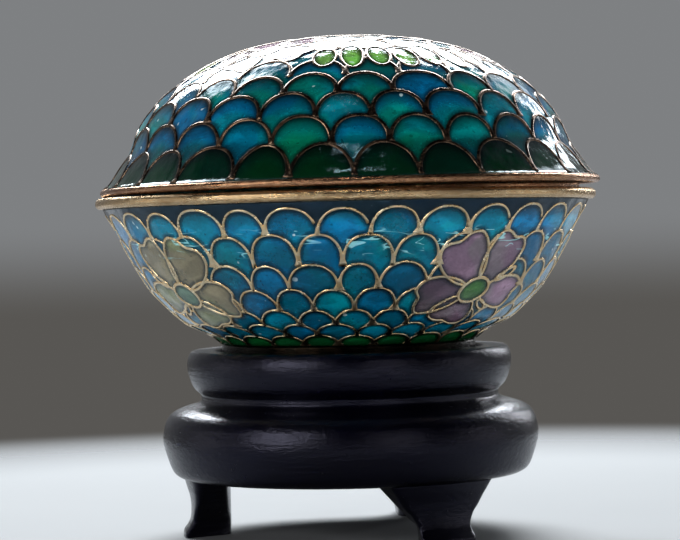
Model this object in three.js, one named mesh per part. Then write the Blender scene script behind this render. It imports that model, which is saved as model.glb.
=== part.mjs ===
// Lidded enamel pot on a turned wooden stand with three legs.
// Millimetres, +Z up. The origin is on the surface that the feet stand on,
// under the axis of the pot. The front of the pot looks along -Y.

import * as THREE from "three";
import { mergeVertices } from "three/addons/utils/BufferGeometryUtils.js";

// How finely the round pieces are cut
const SIDES = 56;
const WALL_STEPS = 9;
const LEG_STEPS = 12;
const FACE_STEPS = 6;

// Legs of the stand
const LEG_COUNT = 3;
const FIRST_LEG_AZIMUTH = 33.5;
const LEG_HEIGHT = 10.2;
const LEG_SETBACK = 0.3;
const LEG_DEPTH = 8.6;
const ANKLE_INSET = 1.15;
const TOE_FLARE = 0.3;
const LEG_TOP_HALF_WIDTH = 10.5;
const LEG_ANKLE_HALF_WIDTH = 5.5;
const LEG_BACK_TOP_HALF_WIDTH = 9.6;
const LEG_BACK_TOE_HALF_WIDTH = 0.9;

// Turned body of the stand: drum below, neck, collar above
const DRUM_HEIGHT = 14.0;
const DRUM_SWELL = 7.1;
const DRUM_TUCK = 3.2;
const NECK_INSET = 2.6;
const NECK_BEAD = 0.35;
const COLLAR_HEIGHT = 8.2;
const COLLAR_WALL = 5.0;
const RECESS_DEPTH = 4.0;
const RECESS_CLEARANCE = 1.2;

// Foot ring of the bowl
const FOOT_RING_RADIUS = 22.4;
const FOOT_RING_HEIGHT = 5.1;
const FOOT_RING_WALL = 1.4;

// Enamel walls of bowl and lid, which share one mouth, and the metal band
// that caps each: how far it stands out and how wide it is
const ENAMEL_THICKNESS = 1.0;
const MOUTH_RADIUS = 42.9;
const RIM_OVERHANG = 1.1;
const RIM_WIDTH = 2.4;
const BOWL_HEIGHT = 24.1;
const BOWL_RIM_HEIGHT = 1.8;

// Lid: metal rim with a locating flange, enamel dome above it
const LID_RIM_HEIGHT = 1.4;
const LID_DOME_HEIGHT = 25.6;
const FLANGE_CLEARANCE = 1.3;
const FLANGE_DEPTH = 2.2;
const FLANGE_WALL = 0.8;
const LID_SEAM = 0.3;

// How the lid lies on the bowl: a little to one side and not quite level
const LID_LIFT = 0.6;
const LID_SHIFT = 0.87;
const LID_TILT = 0.5;

// Heights that follow from the stack of pieces
const drumTop = LEG_HEIGHT + DRUM_HEIGHT;
const standTop = drumTop + COLLAR_HEIGHT;
const recessFloor = standTop - RECESS_DEPTH;
const bowlBase = recessFloor + FOOT_RING_HEIGHT;
const bowlTop = bowlBase + BOWL_HEIGHT;
const bowlRimTop = bowlTop + BOWL_RIM_HEIGHT;

// Radii that follow from what holds what
const rimRadius = MOUTH_RADIUS + RIM_OVERHANG;
const rimInside = rimRadius - RIM_WIDTH;
const recessRadius = FOOT_RING_RADIUS + RECESS_CLEARANCE;
const collarRadius = recessRadius + COLLAR_WALL;
const neckRadius = collarRadius - NECK_INSET;
const drumRadius = neckRadius + DRUM_SWELL;
const drumFootRadius = drumRadius - DRUM_TUCK;
const legRadius = drumFootRadius - LEG_SETBACK;

const materials = {
  enamel: new THREE.MeshStandardMaterial({ color: 0x0d6f8f, roughness: 0.12, metalness: 0.1 }),
  gilt: new THREE.MeshStandardMaterial({ color: 0xb08a4e, roughness: 0.35, metalness: 0.9 }),
  lacquer: new THREE.MeshStandardMaterial({ color: 0x120d10, roughness: 0.3, metalness: 0.0 }),
};

function named(name, geometry, material) {
  const mesh = new THREE.Mesh(geometry, material);
  mesh.name = name;
  return mesh;
}

// A turned piece: pairs of radius and height, from the axis to the axis or
// round a ring, stood upright
function turned(points) {
  const profile = points.map(([radius, height]) => new THREE.Vector2(radius, height));
  const geometry = new THREE.LatheGeometry(profile, SIDES);
  geometry.rotateX(Math.PI / 2);
  geometry.deleteAttribute("uv");
  geometry.deleteAttribute("normal");
  const merged = mergeVertices(geometry, 1e-5);
  return withoutFlatTriangles(merged);
}

// Drops the triangles that have no area, as those at the axis
function withoutFlatTriangles(geometry) {
  const index = geometry.getIndex().array;
  const kept = [];
  for (let i = 0; i < index.length; i += 3) {
    const [a, b, c] = [index[i], index[i + 1], index[i + 2]];
    if (a !== b && b !== c && c !== a) kept.push(a, b, c);
  }
  geometry.setIndex(kept);
  geometry.computeVertexNormals();
  return geometry;
}

// Smooth outline through a few points, evenly sampled along its length
function outline(points, steps) {
  const curve = new THREE.CatmullRomCurve3(
    points.map(([radius, height]) => new THREE.Vector3(radius, height, 0)),
    false,
    "centripetal",
  );
  return curve.getSpacedPoints(steps).map((p) => [p.x, p.y]);
}

// The same outline moved inwards by the wall, square to itself
function insetOutline(points, wall) {
  return points.map(([radius, height], i) => {
    const before = points[Math.max(i - 1, 0)];
    const after = points[Math.min(i + 1, points.length - 1)];
    const run = Math.hypot(after[0] - before[0], after[1] - before[1]);
    const across = [(after[1] - before[1]) / run, -(after[0] - before[0]) / run];
    return [radius - wall * across[0], height - wall * across[1]];
  });
}

// Bowl outline from foot to mouth, as shares of its height and of the
// spread from the foot ring to the mouth: low and wide below, nearly
// straight above
const BOWL_SHARES = [
  [0.0, 0.0],
  [0.125, 0.079],
  [0.315, 0.158],
  [0.475, 0.282],
  [0.605, 0.402],
  [0.775, 0.643],
  [0.912, 0.863],
  [1.0, 1.0],
];

function bowlOutline() {
  const spread = MOUTH_RADIUS - FOOT_RING_RADIUS;
  const points = BOWL_SHARES.map(([out, up]) => [
    FOOT_RING_RADIUS + spread * out,
    bowlBase + BOWL_HEIGHT * up,
  ]);
  return outline(points, WALL_STEPS);
}

function bowlShell() {
  const outer = bowlOutline();
  const inner = insetOutline(outer, ENAMEL_THICKNESS);
  const last = outer.length - 1;
  inner[last] = [outer[last][0] - ENAMEL_THICKNESS, bowlTop];
  inner[0] = [outer[0][0] - ENAMEL_THICKNESS, bowlBase + ENAMEL_THICKNESS];
  return turned([[0, bowlBase], ...outer, ...inner.reverse(), [0, bowlBase + ENAMEL_THICKNESS]]);
}

// The share of a rim's height that its soft outer edges take
const RIM_SOFTNESS = 0.28;

// Metal band that caps the bowl's edge: rounded outside, flat where it is
// soldered
function bowlRim() {
  const soft = BOWL_RIM_HEIGHT * RIM_SOFTNESS;
  return turned([
    [rimRadius - soft, bowlTop],
    [rimRadius, bowlTop + soft],
    [rimRadius, bowlRimTop - soft],
    [rimRadius - soft, bowlRimTop],
    [rimInside, bowlRimTop],
    [rimInside, bowlTop],
    [rimRadius - soft, bowlTop],
  ]);
}

function footRing() {
  const inside = FOOT_RING_RADIUS - FOOT_RING_WALL;
  return turned([
    [inside, recessFloor],
    [FOOT_RING_RADIUS, recessFloor],
    [FOOT_RING_RADIUS, bowlBase],
    [inside, bowlBase],
    [inside, recessFloor],
  ]);
}

// Lid dome from mouth to crown, as shares of its radius and its height: a
// small outward flare at the mouth, then a full shoulder and a flat crown
const DOME_SHARES = [
  [1.0, 0.0],
  [0.944, 0.13],
  [0.909, 0.215],
  [0.874, 0.36],
  [0.82, 0.502],
  [0.743, 0.637],
  [0.655, 0.745],
  [0.536, 0.853],
  [0.41, 0.928],
  [0.256, 0.978],
  [0.12, 0.995],
  [0.0, 1.0],
];

function lidDome() {
  const bottom = LID_RIM_HEIGHT + LID_SEAM;
  const points = DOME_SHARES.map(([out, up]) => [
    MOUTH_RADIUS * out,
    bottom + (LID_DOME_HEIGHT - LID_SEAM) * up,
  ]);
  const outer = outline(points, WALL_STEPS + 2);
  const inner = insetOutline(outer, ENAMEL_THICKNESS);
  const last = outer.length - 1;
  inner[0] = [outer[0][0] - ENAMEL_THICKNESS, bottom];
  outer[last] = [0, outer[last][1]];
  inner[last] = [0, outer[last][1] - ENAMEL_THICKNESS];
  return turned([...inner.reverse(), ...outer]);
}

function lidRim() {
  const soft = LID_RIM_HEIGHT * RIM_SOFTNESS;
  const flangeOutside = rimInside - FLANGE_CLEARANCE;
  const flangeInside = flangeOutside - FLANGE_WALL;
  return turned([
    [rimRadius - soft, 0],
    [rimRadius, soft],
    [rimRadius, LID_RIM_HEIGHT - soft],
    [rimRadius - soft, LID_RIM_HEIGHT],
    [rimInside, LID_RIM_HEIGHT],
    [flangeInside, LID_RIM_HEIGHT - soft],
    [flangeInside, -FLANGE_DEPTH],
    [flangeOutside, -FLANGE_DEPTH],
    [flangeOutside, 0],
    [rimRadius - soft, 0],
  ]);
}

// Stand body, turned as one: each height is a share of the drum or of the
// collar, and each radius lies between the radii named above. A fine bead
// runs round the neck
function standBody() {
  const drum = (share) => LEG_HEIGHT + DRUM_HEIGHT * share;
  const collar = (share) => drumTop + COLLAR_HEIGHT * share;
  const tucked = (share) => drumRadius - DRUM_TUCK * share;
  const shoulder = (share) => drumRadius - DRUM_SWELL * share;
  const undercut = (share) => collarRadius - NECK_INSET * share;
  return turned([
    [0, LEG_HEIGHT],
    [drumFootRadius, LEG_HEIGHT],
    [tucked(0.59), drum(0.06)],
    [tucked(0.23), drum(0.25)],
    [drumRadius, drum(0.47)],
    [shoulder(0.03), drum(0.61)],
    [shoulder(0.1), drum(0.72)],
    [shoulder(0.25), drum(0.81)],
    [shoulder(0.52), drum(0.87)],
    [shoulder(0.87), drum(0.92)],
    [neckRadius, drumTop - NECK_BEAD],
    [neckRadius + NECK_BEAD, drumTop],
    [neckRadius, drumTop + NECK_BEAD],
    [undercut(0.46), collar(0.2)],
    [undercut(0.15), collar(0.42)],
    [collarRadius, collar(0.66)],
    [undercut(0.1), collar(0.88)],
    [undercut(0.35), standTop],
    [recessRadius, standTop],
    [recessRadius, recessFloor],
    [0, recessFloor],
  ]);
}

// A value along the leg, from toe to top, through a few pairs of height
// share and value
function alongLeg(pairs, share) {
  const next = pairs.findIndex(([height]) => height >= share);
  if (next <= 0) return pairs[0][1];
  const [lowHeight, low] = pairs[next - 1];
  const [highHeight, high] = pairs[next];
  const t = (share - lowHeight) / (highHeight - lowHeight);
  return low + (high - low) * t;
}

// One leg: an S-curved bracket, wide under the drum, narrow at the ankle,
// with sides that draw in towards its back as it goes down
function leg() {
  const widen = LEG_TOP_HALF_WIDTH - LEG_ANKLE_HALF_WIDTH;
  const backWiden = LEG_BACK_TOP_HALF_WIDTH - LEG_BACK_TOE_HALF_WIDTH;
  const frontHalf = [
    [0, LEG_ANKLE_HALF_WIDTH + 0.02 * widen],
    [0.12, LEG_ANKLE_HALF_WIDTH + 0.04 * widen],
    [0.27, LEG_ANKLE_HALF_WIDTH],
    [0.45, LEG_ANKLE_HALF_WIDTH + 0.14 * widen],
    [0.6, LEG_ANKLE_HALF_WIDTH + 0.42 * widen],
    [0.81, LEG_ANKLE_HALF_WIDTH + 0.72 * widen],
    [1, LEG_TOP_HALF_WIDTH],
  ];
  const backHalf = [
    [0, LEG_BACK_TOE_HALF_WIDTH],
    [0.17, LEG_BACK_TOE_HALF_WIDTH],
    [0.4, LEG_BACK_TOE_HALF_WIDTH + 0.24 * backWiden],
    [0.7, LEG_BACK_TOE_HALF_WIDTH + 0.62 * backWiden],
    [1, LEG_BACK_TOP_HALF_WIDTH],
  ];
  const face = [
    [0, legRadius + TOE_FLARE],
    [0.06, legRadius + TOE_FLARE],
    [0.19, legRadius - 0.42 * ANKLE_INSET],
    [0.33, legRadius - 0.9 * ANKLE_INSET],
    [0.5, legRadius - ANKLE_INSET],
    [0.68, legRadius - 0.82 * ANKLE_INSET],
    [0.85, legRadius - 0.38 * ANKLE_INSET],
    [1, legRadius],
  ];
  const back = legRadius - LEG_DEPTH;
  const rows = [];
  for (let step = 0; step <= LEG_STEPS; step += 1) {
    const share = step / LEG_STEPS;
    const height = LEG_HEIGHT * share;
    const half = alongLeg(frontHalf, share);
    const radius = alongLeg(face, share);
    const row = [];
    for (let k = 0; k <= FACE_STEPS; k += 1) {
      const across = half * (1 - (2 * k) / FACE_STEPS);
      row.push([across, -Math.sqrt(radius * radius - across * across), height]);
    }
    const backWidth = alongLeg(backHalf, share);
    row.push([-backWidth, -back, height], [backWidth, -back, height]);
    rows.push(row);
  }
  return loft(rows);
}

// Closed body through rows of points that all have the same count
function loft(rows) {
  const count = rows[0].length;
  const positions = rows.flat(2);
  const index = [];
  for (let level = 0; level < rows.length - 1; level += 1) {
    for (let k = 0; k < count; k += 1) {
      const a = level * count + k;
      const b = level * count + ((k + 1) % count);
      index.push(a, a + count, b, b, a + count, b + count);
    }
  }
  const top = (rows.length - 1) * count;
  for (let k = 1; k < count - 1; k += 1) {
    index.push(0, k, k + 1);
    index.push(top, top + k + 1, top + k);
  }
  const geometry = new THREE.BufferGeometry();
  geometry.setAttribute("position", new THREE.Float32BufferAttribute(positions, 3));
  geometry.setIndex(index);
  geometry.computeVertexNormals();
  return geometry;
}

const pot = new THREE.Group();

// The stand and its legs
pot.add(named("stand_body", standBody(), materials.lacquer));
const legNames = ["stand_leg_right", "stand_leg_rear", "stand_leg_left"];
for (let i = 0; i < LEG_COUNT; i += 1) {
  const piece = named(legNames[i] ?? `stand_leg_${i + 1}`, leg(), materials.lacquer);
  piece.rotation.z = THREE.MathUtils.degToRad(FIRST_LEG_AZIMUTH + (360 / LEG_COUNT) * i);
  pot.add(piece);
}

// The bowl
pot.add(named("bowl_foot_ring", footRing(), materials.gilt));
pot.add(named("bowl_enamel", bowlShell(), materials.enamel));
pot.add(named("bowl_rim", bowlRim(), materials.gilt));

// The lid, which only rests on the bowl's rim
const lid = new THREE.Group();
lid.position.set(LID_SHIFT, 0, bowlRimTop + LID_LIFT);
lid.rotation.y = -THREE.MathUtils.degToRad(LID_TILT);
lid.add(named("lid_rim", lidRim(), materials.gilt));
lid.add(named("lid_enamel", lidDome(), materials.enamel));
pot.add(lid);

export default pot;
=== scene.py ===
import math
import bpy
import numpy as np
from mathutils import Matrix


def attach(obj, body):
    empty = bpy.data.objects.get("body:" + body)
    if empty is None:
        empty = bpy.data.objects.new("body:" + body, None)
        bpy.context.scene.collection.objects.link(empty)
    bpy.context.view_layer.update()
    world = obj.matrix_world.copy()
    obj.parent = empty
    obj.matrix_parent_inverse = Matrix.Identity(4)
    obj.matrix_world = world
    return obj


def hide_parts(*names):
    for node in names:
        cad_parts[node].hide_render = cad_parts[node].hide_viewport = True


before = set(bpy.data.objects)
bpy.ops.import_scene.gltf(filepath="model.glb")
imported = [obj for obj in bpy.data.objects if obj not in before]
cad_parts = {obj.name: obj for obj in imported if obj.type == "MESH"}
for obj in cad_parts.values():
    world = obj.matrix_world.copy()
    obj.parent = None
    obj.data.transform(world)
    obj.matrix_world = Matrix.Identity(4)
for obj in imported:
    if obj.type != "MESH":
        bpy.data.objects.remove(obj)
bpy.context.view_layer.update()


# Floor, lights and camera. The floor is a plain pale round sheet that fades out into an even
# grey. One broad soft light stands behind and above, weaker ones stand round the sides and in
# front, and a narrow beam lies on the floor in front. Shapes are worked out in millimetres.
FLOOR_RADIUS = 900.0
FLOOR_MIDDLE = 60.0
FLOOR_THICKNESS = 0.4
FLOOR_SIDES = 96
FLOOR_FADE_START = 0.13
FLOOR_FADE_END = 0.25
IMAGE_WIDTH = 680
FOCAL_PIXELS = 2450
SENSOR_WIDTH = 36.0
CAMERA_DISTANCE = 0.433
CAMERA_HEIGHT = 0.0513
CAMERA_OFFSET = -0.00124
CAMERA_PITCH = math.radians(0.70)
CAMERA_ROLL = math.radians(1.33)


def linear(red, green, blue):
    """Linear light of a display colour given from 0 to 255: the cubic fit of the display curve."""
    share = np.array([red, green, blue]) / 255
    return share * (share * (share * 0.305306011 + 0.682171111) + 0.012522878)


def paint(red, green, blue):
    """The same colour as a tuple with full alpha, as a shader's socket takes it."""
    return (*linear(red, green, blue), 1.0)


class Value:
    """One output of a shader node. Sums, products and powers of values add Math nodes, so that
    a pattern is written as a formula."""

    def __init__(self, nodes, socket):
        self.nodes = nodes
        self.socket = socket

    def worked(self, operation, first, second):
        return self.nodes.node("ShaderNodeMath", {"operation": operation}, {0: first, 1: second})

    def __add__(self, other):
        return self.worked("ADD", self, other)

    def __radd__(self, other):
        return self.worked("ADD", other, self)

    def __sub__(self, other):
        return self.worked("SUBTRACT", self, other)

    def __rsub__(self, other):
        return self.worked("SUBTRACT", other, self)

    def __mul__(self, other):
        return self.worked("MULTIPLY", self, other)

    def __rmul__(self, other):
        return self.worked("MULTIPLY", other, self)

    def __truediv__(self, other):
        return self.worked("DIVIDE", self, other)

    def __pow__(self, other):
        return self.worked("POWER", self, other)

    def step(self, low, high):
        """Smooth step: 0 below low, 1 above high."""
        ends = {0: self, 1: low, 2: high}
        return self.nodes.node("ShaderNodeMapRange", {"interpolation_type": "SMOOTHSTEP"}, ends)


class Nodes:
    """A node tree and the one way of adding a node to it."""

    def __init__(self, tree):
        self.tree = tree

    def join(self, value, socket):
        if isinstance(value, Value):
            self.tree.links.new(value.socket, socket)
        else:
            socket.default_value = value

    def node(self, kind, settings, inputs, output=0):
        """Adds a node: its settings first, then a value or a link on each socket."""
        added = self.tree.nodes.new(kind)
        for name, setting in settings.items():
            setattr(added, name, setting)
        for name, value in inputs.items():
            self.join(value, added.inputs[name])
        return Value(self, added.outputs[output])

    def noise(self, place, scale, detail=3.0, roughness=0.55, distortion=0.0):
        """Noise from 0 to 1 round a middle of about 0.5."""
        inputs = {"Vector": place, "Scale": scale, "Detail": detail}
        inputs.update({"Roughness": roughness, "Distortion": distortion})
        return self.node("ShaderNodeTexNoise", {}, inputs)

    def mixed(self, share, first, second, way="MIX"):
        """Colour that goes from first to second with share."""
        settings = {"data_type": "RGBA", "blend_type": way}
        return self.node("ShaderNodeMix", settings, {0: share, 6: first, 7: second}, 2)

    def scaled(self, colour, factor):
        """Colour times a number."""
        return self.node("ShaderNodeVectorMath", {"operation": "SCALE"}, {0: colour, 3: factor})

    def stretched(self, place, x, y, z):
        """Place with each axis multiplied by its own number."""
        settings = {"operation": "MULTIPLY"}
        return self.node("ShaderNodeVectorMath", settings, {0: place, 1: (x, y, z)})


class Finish(Nodes):
    """A material being put together, with its Principled shader."""

    def __init__(self, name, **sockets):
        self.material = bpy.data.materials.new(name)
        self.material.use_nodes = True
        super().__init__(self.material.node_tree)
        self.shader = self.tree.nodes["Principled BSDF"]
        self.place = self.node("ShaderNodeTexCoord", {}, {}, "Object")
        self.give(**sockets)

    def give(self, **sockets):
        """Sets or links sockets of the shader, named with _ for a space."""
        for name, value in sockets.items():
            self.join(value, self.shader.inputs[name.replace("_", " ")])

    def bump(self, height, strength, distance):
        """Sends a height from 0 to 1 through a Bump node, with its distance in metres."""
        inputs = {"Height": height, "Strength": strength, "Distance": distance}
        self.give(Normal=self.node("ShaderNodeBump", {}, inputs))


def new_piece(name, points, faces, finish):
    """Smooth object at the origin from points in millimetres and faces of corner numbers."""
    mesh = bpy.data.meshes.new(name)
    mesh.from_pydata((np.asarray(points) / 1000).tolist(), [], faces)
    mesh.shade_smooth()
    mesh.materials.append(finish.material)
    piece = bpy.data.objects.new(name, mesh)
    bpy.context.scene.collection.objects.link(piece)
    return piece


def turned_mesh(profile, sides):
    """Points and faces of a turned shape: pairs of radius and height carried round the axis. A
    profile that starts and ends on the axis gets one point there, any other is a closed ring."""
    profile = np.asarray(profile, dtype=float)
    poled = profile[0, 0] < 1e-6 and profile[-1, 0] < 1e-6
    rings = profile[1:-1] if poled else profile
    angle = np.arange(sides) * 2 * math.pi / sides
    x = rings[:, :1] * np.sin(angle)
    y = rings[:, :1] * -np.cos(angle)
    z = np.repeat(rings[:, 1:], sides, axis=1)
    points = np.stack([x, y, z], axis=-1).reshape(-1, 3)
    numbers = np.arange(len(rings) * sides).reshape(len(rings), sides)
    onward = np.roll(numbers, -1, axis=1)
    if poled:
        quads = np.stack([numbers[:-1], onward[:-1], onward[1:], numbers[1:]], axis=-1)
    else:
        above = np.roll(numbers, -1, axis=0)
        quads = np.stack([numbers, onward, np.roll(onward, -1, axis=0), above], axis=-1)
    faces = quads.reshape(-1, 4).tolist()
    if poled:
        low = len(points)
        points = np.vstack([points, [0, 0, profile[0, 1]], [0, 0, profile[-1, 1]]])
        faces += [[low, b, a] for a, b in zip(numbers[0].tolist(), onward[0].tolist())]
        faces += [[low + 1, a, b] for a, b in zip(numbers[-1].tolist(), onward[-1].tolist())]
    return points, faces


floor_finish = Finish("floor_paper", Roughness=0.75)
floor_cloud = floor_finish.noise(floor_finish.place, 9.0)
floor_colour = floor_finish.mixed(floor_cloud, paint(119, 122, 126), paint(128, 131, 135))
floor_length = {"operation": "LENGTH"}
floor_away = floor_finish.node("ShaderNodeVectorMath", floor_length, {0: floor_finish.place}, 1)
floor_finish.give(Base_Color=floor_colour)
floor_finish.give(Alpha=1 - floor_away.step(FLOOR_FADE_START, FLOOR_FADE_END))
floor_profile = [
    (0.0, -FLOOR_THICKNESS),
    (FLOOR_MIDDLE, -FLOOR_THICKNESS),
    (FLOOR_RADIUS, -FLOOR_THICKNESS),
    (FLOOR_RADIUS, 0.0),
    (FLOOR_MIDDLE, 0.0),
    (0.0, 0.0),
]
floor = new_piece("floor", *turned_mesh(floor_profile, FLOOR_SIDES), floor_finish)

world = bpy.data.worlds.new("grey_surround")
world.use_nodes = True
bpy.context.scene.world = world
surround = Nodes(world.node_tree)
direction = surround.node("ShaderNodeTexCoord", {}, {}, "Generated")
split = world.node_tree.nodes.new("ShaderNodeSeparateXYZ")
surround.join(direction, split.inputs[0])
ahead = Value(surround, split.outputs["Y"])
upward = Value(surround, split.outputs["Z"])
downward = 0 - upward
around = surround.mixed(ahead.step(-0.35, 0.6), paint(30, 30, 34), paint(126, 128, 130))
around = surround.mixed(upward.step(0.5, 0.9), around, paint(40, 41, 45))
around = surround.mixed(downward.step(-0.01, 0.03), around, paint(88, 86, 83))
around = surround.mixed(downward.step(0.075, 0.15), around, paint(206, 211, 216))
surround.join(around, world.node_tree.nodes["Background"].inputs["Color"])


def soft_light(name, place, size, aim, power, colour, spread=180):
    """Rectangular light of size width by height, in metres, turned towards a point. Spread is
    the angle of its beam in degrees."""
    data = bpy.data.lights.new(name, "AREA")
    data.shape = "RECTANGLE"
    data.size, data.size_y = size
    data.energy = power
    data.color = colour
    data.spread = math.radians(spread)
    light = bpy.data.objects.new(name, data)
    forward = np.array(aim, dtype=float) - place
    forward /= np.linalg.norm(forward)
    side = np.cross(forward, (0, 0, 1))
    side /= np.linalg.norm(side)
    turn = np.eye(4)
    turn[:3, 0], turn[:3, 1] = side, np.cross(side, forward)
    turn[:3, 2], turn[:3, 3] = -forward, place
    light.matrix_world = Matrix(turn.tolist())
    light.visible_camera = False
    bpy.context.scene.collection.objects.link(light)


soft_light("back_light", (-0.03, 0.86, 0.69), (0.86, 0.36), (0, 0, 0.05), 29.0, (0.94, 0.98, 1.0))
soft_light("upper_left", (-0.37, 0.62, 0.80), (0.34, 0.20), (0, 0, 0.05), 1.7, (0.92, 0.97, 1.0))
soft_light("right_strip", (0.50, 0.62, 0.30), (0.08, 0.30), (0, 0, 0.05), 1.1, (0.95, 0.98, 1.0))
soft_light("right_glow", (0.42, 0.66, 0.52), (0.30, 0.22), (0, 0, 0.05), 0.45, (0.90, 0.96, 1.0))
soft_light("right_side", (0.85, -0.05, 0.12), (0.50, 0.24), (0, 0, 0.05), 0.30, (1.0, 0.98, 0.95))
soft_light("left_side", (-0.85, 0.02, 0.12), (0.50, 0.24), (0, 0, 0.05), 0.30, (1.0, 0.99, 0.97))
soft_light("front_spark", (0.45, -0.85, 0.28), (0.22, 0.09), (0, 0, 0.04), 0.45, (1.0, 0.97, 0.92))
soft_light("front_pool", (0.0, -0.18, 0.5), (0.34, 0.10), (0, -0.17, 0), 0.56, (1.0, 0.97, 0.92), 24)
soft_light("front_fill", (-0.62, -0.62, 0.34), (0.42, 0.20), (0, 0, 0.02), 2.5, (1.0, 0.99, 0.96))

camera_data = bpy.data.cameras.new("camera")
camera_data.sensor_width = SENSOR_WIDTH
camera_data.lens = FOCAL_PIXELS / IMAGE_WIDTH * SENSOR_WIDTH
camera = bpy.data.objects.new("camera", camera_data)
camera.matrix_world = (
    Matrix.Translation((CAMERA_OFFSET, -CAMERA_DISTANCE, CAMERA_HEIGHT))
    @ Matrix.Rotation(math.radians(90) - CAMERA_PITCH, 4, "X")
    @ Matrix.Rotation(-CAMERA_ROLL, 4, "Z")
)
bpy.context.scene.collection.objects.link(camera)
bpy.context.scene.camera = camera
bpy.context.scene.view_settings.view_transform = "Standard"


# Stand body: one block of hardwood turned on a lathe, with a swelling drum, a fine bead in the
# neck and a collar with a round recess for the pot. Black lacquer in several brushed coats,
# worn a little brown at its edges.
STAND_FOOT = 10.2
DRUM_TOP = 24.2
STAND_TOP = 32.4
RECESS_FLOOR = 28.4
DRUM_RADIUS = 33.1
NECK_RADIUS = 26.0
COLLAR_RADIUS = 28.6
RECESS_RADIUS = 23.6


def curve(points, steps):
    """Centripetal Catmull-Rom curve through pairs of numbers, with steps points to a span. Each
    span is the cubic whose end slopes weigh the neighbours by the root of their distance."""
    points = np.asarray(points, dtype=float)
    before = 2 * points[0] - points[1]
    after = 2 * points[-1] - points[-2]
    all_points = np.vstack([before, points, after])
    gap = np.linalg.norm(np.diff(all_points, axis=0), axis=1)[:, None] ** 0.5
    a, b, c, d = all_points[:-3], all_points[1:-2], all_points[2:-1], all_points[3:]
    first, middle, last = gap[:-2], gap[1:-1], gap[2:]
    leave = ((b - a) / first - (c - a) / (first + middle) + (c - b) / middle) * middle
    arrive = ((c - b) / middle - (d - b) / (middle + last) + (d - c) / last) * middle
    t = (np.arange(steps) / steps)[None, :, None]
    b, c, leave, arrive = (part[:, None, :] for part in (b, c, leave, arrive))
    spans = b + leave * t + (3 * (c - b) - 2 * leave - arrive) * t**2
    spans = spans + (2 * (b - c) + leave + arrive) * t**3
    return np.vstack([spans.reshape(-1, points.shape[1]), points[-1:]])


def evened(points, count):
    """The same line with count points at even distances along it."""
    points = np.asarray(points, dtype=float)
    reach = np.concatenate([[0], np.cumsum(np.linalg.norm(np.diff(points, axis=0), axis=1))])
    wanted = np.linspace(0, reach[-1], count)
    return np.stack([np.interp(wanted, reach, part) for part in points.T], axis=-1)


def softened(points, rounds, closed=False):
    """Rounds the corners: each point moves to a quarter of each neighbour and half of itself."""
    points = np.array(points, dtype=float)
    for _ in range(rounds):
        moved = (np.roll(points, 1, axis=0) + 2 * points + np.roll(points, -1, axis=0)) / 4
        if not closed:
            moved[[0, -1]] = points[[0, -1]]
        points = moved
    return points


def lacquer_finish(name):
    """Black lacquer: blue-black and glossy, with brush marks round the piece, a fine wrinkle,
    thin brown patches where edges are handled, and fine dust."""
    finish = Finish(name, IOR=1.5, Specular_IOR_Level=0.43, Specular_Tint=(0.7, 0.7, 1.0, 1.0))
    cloud = finish.noise(finish.place, 60.0, 4.0)
    marks = finish.noise(finish.stretched(finish.place, 1, 1, 7), 220.0, 4.0, 0.6)
    worn = (finish.noise(finish.place, 420.0, 5.0, 0.65) * 0.6 + cloud * 0.4).step(0.60, 0.68)
    edge = finish.node("ShaderNodeNewGeometry", {}, {}, "Pointiness").step(0.53, 0.58)
    body = finish.mixed(cloud.step(0.35, 0.7), paint(2, 2, 12), paint(6, 5, 20))
    body = finish.mixed(edge * worn * 0.55, body, paint(84, 50, 34))
    dust = finish.noise(finish.place, 1500.0, 2.0).step(0.70, 0.78)
    finish.give(Base_Color=finish.mixed(dust * 0.1, body, paint(130, 128, 124)))
    finish.give(Roughness=0.12 + marks * 0.16 + worn * 0.1 + dust * 0.2)
    peel = finish.noise(finish.stretched(finish.place, 1, 1, 1.8), 900.0, 5.0, 0.65)
    finish.bump(marks * 0.4 + cloud * 0.3 + peel * 0.5, 0.5, 0.0005)
    return finish


lacquer = lacquer_finish("black_lacquer")
drum_side = curve([
    (29.9, STAND_FOOT),
    (31.21, 11.04),
    (32.36, 13.7),
    (DRUM_RADIUS, 16.78),
    (32.89, 18.74),
    (32.39, 20.28),
    (31.33, 21.54),
    (29.41, 22.38),
    (26.92, 23.08),
    (NECK_RADIUS, DRUM_TOP - 0.35),
], 14)
bead = curve([
    (NECK_RADIUS, DRUM_TOP - 0.35),
    (NECK_RADIUS + 0.3, DRUM_TOP - 0.18),
    (NECK_RADIUS + 0.35, DRUM_TOP),
    (NECK_RADIUS + 0.3, DRUM_TOP + 0.18),
    (NECK_RADIUS, DRUM_TOP + 0.35),
], 5)
collar_side = curve([
    (NECK_RADIUS, DRUM_TOP + 0.35),
    (27.4, 25.84),
    (28.21, 27.64),
    (COLLAR_RADIUS, 29.61),
    (28.34, 31.42),
    (27.69, STAND_TOP),
], 14)
collar_top = [(RECESS_RADIUS, STAND_TOP), (RECESS_RADIUS, RECESS_FLOOR), (0.0, RECESS_FLOOR)]
stand_profile = np.vstack([[(0.0, STAND_FOOT)], drum_side, bead[1:], collar_side[1:], collar_top])
stand_profile = softened(evened(stand_profile, 420), 3)
stand_profile = stand_profile[np.r_[0, 1:418:2, 419]]
stand_profile[[0, -1], 0] = 0.0
stand_body = new_piece("stand_turned_body", *turned_mesh(stand_profile, 240), lacquer)
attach(stand_body, "root")
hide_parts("stand_body")


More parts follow.
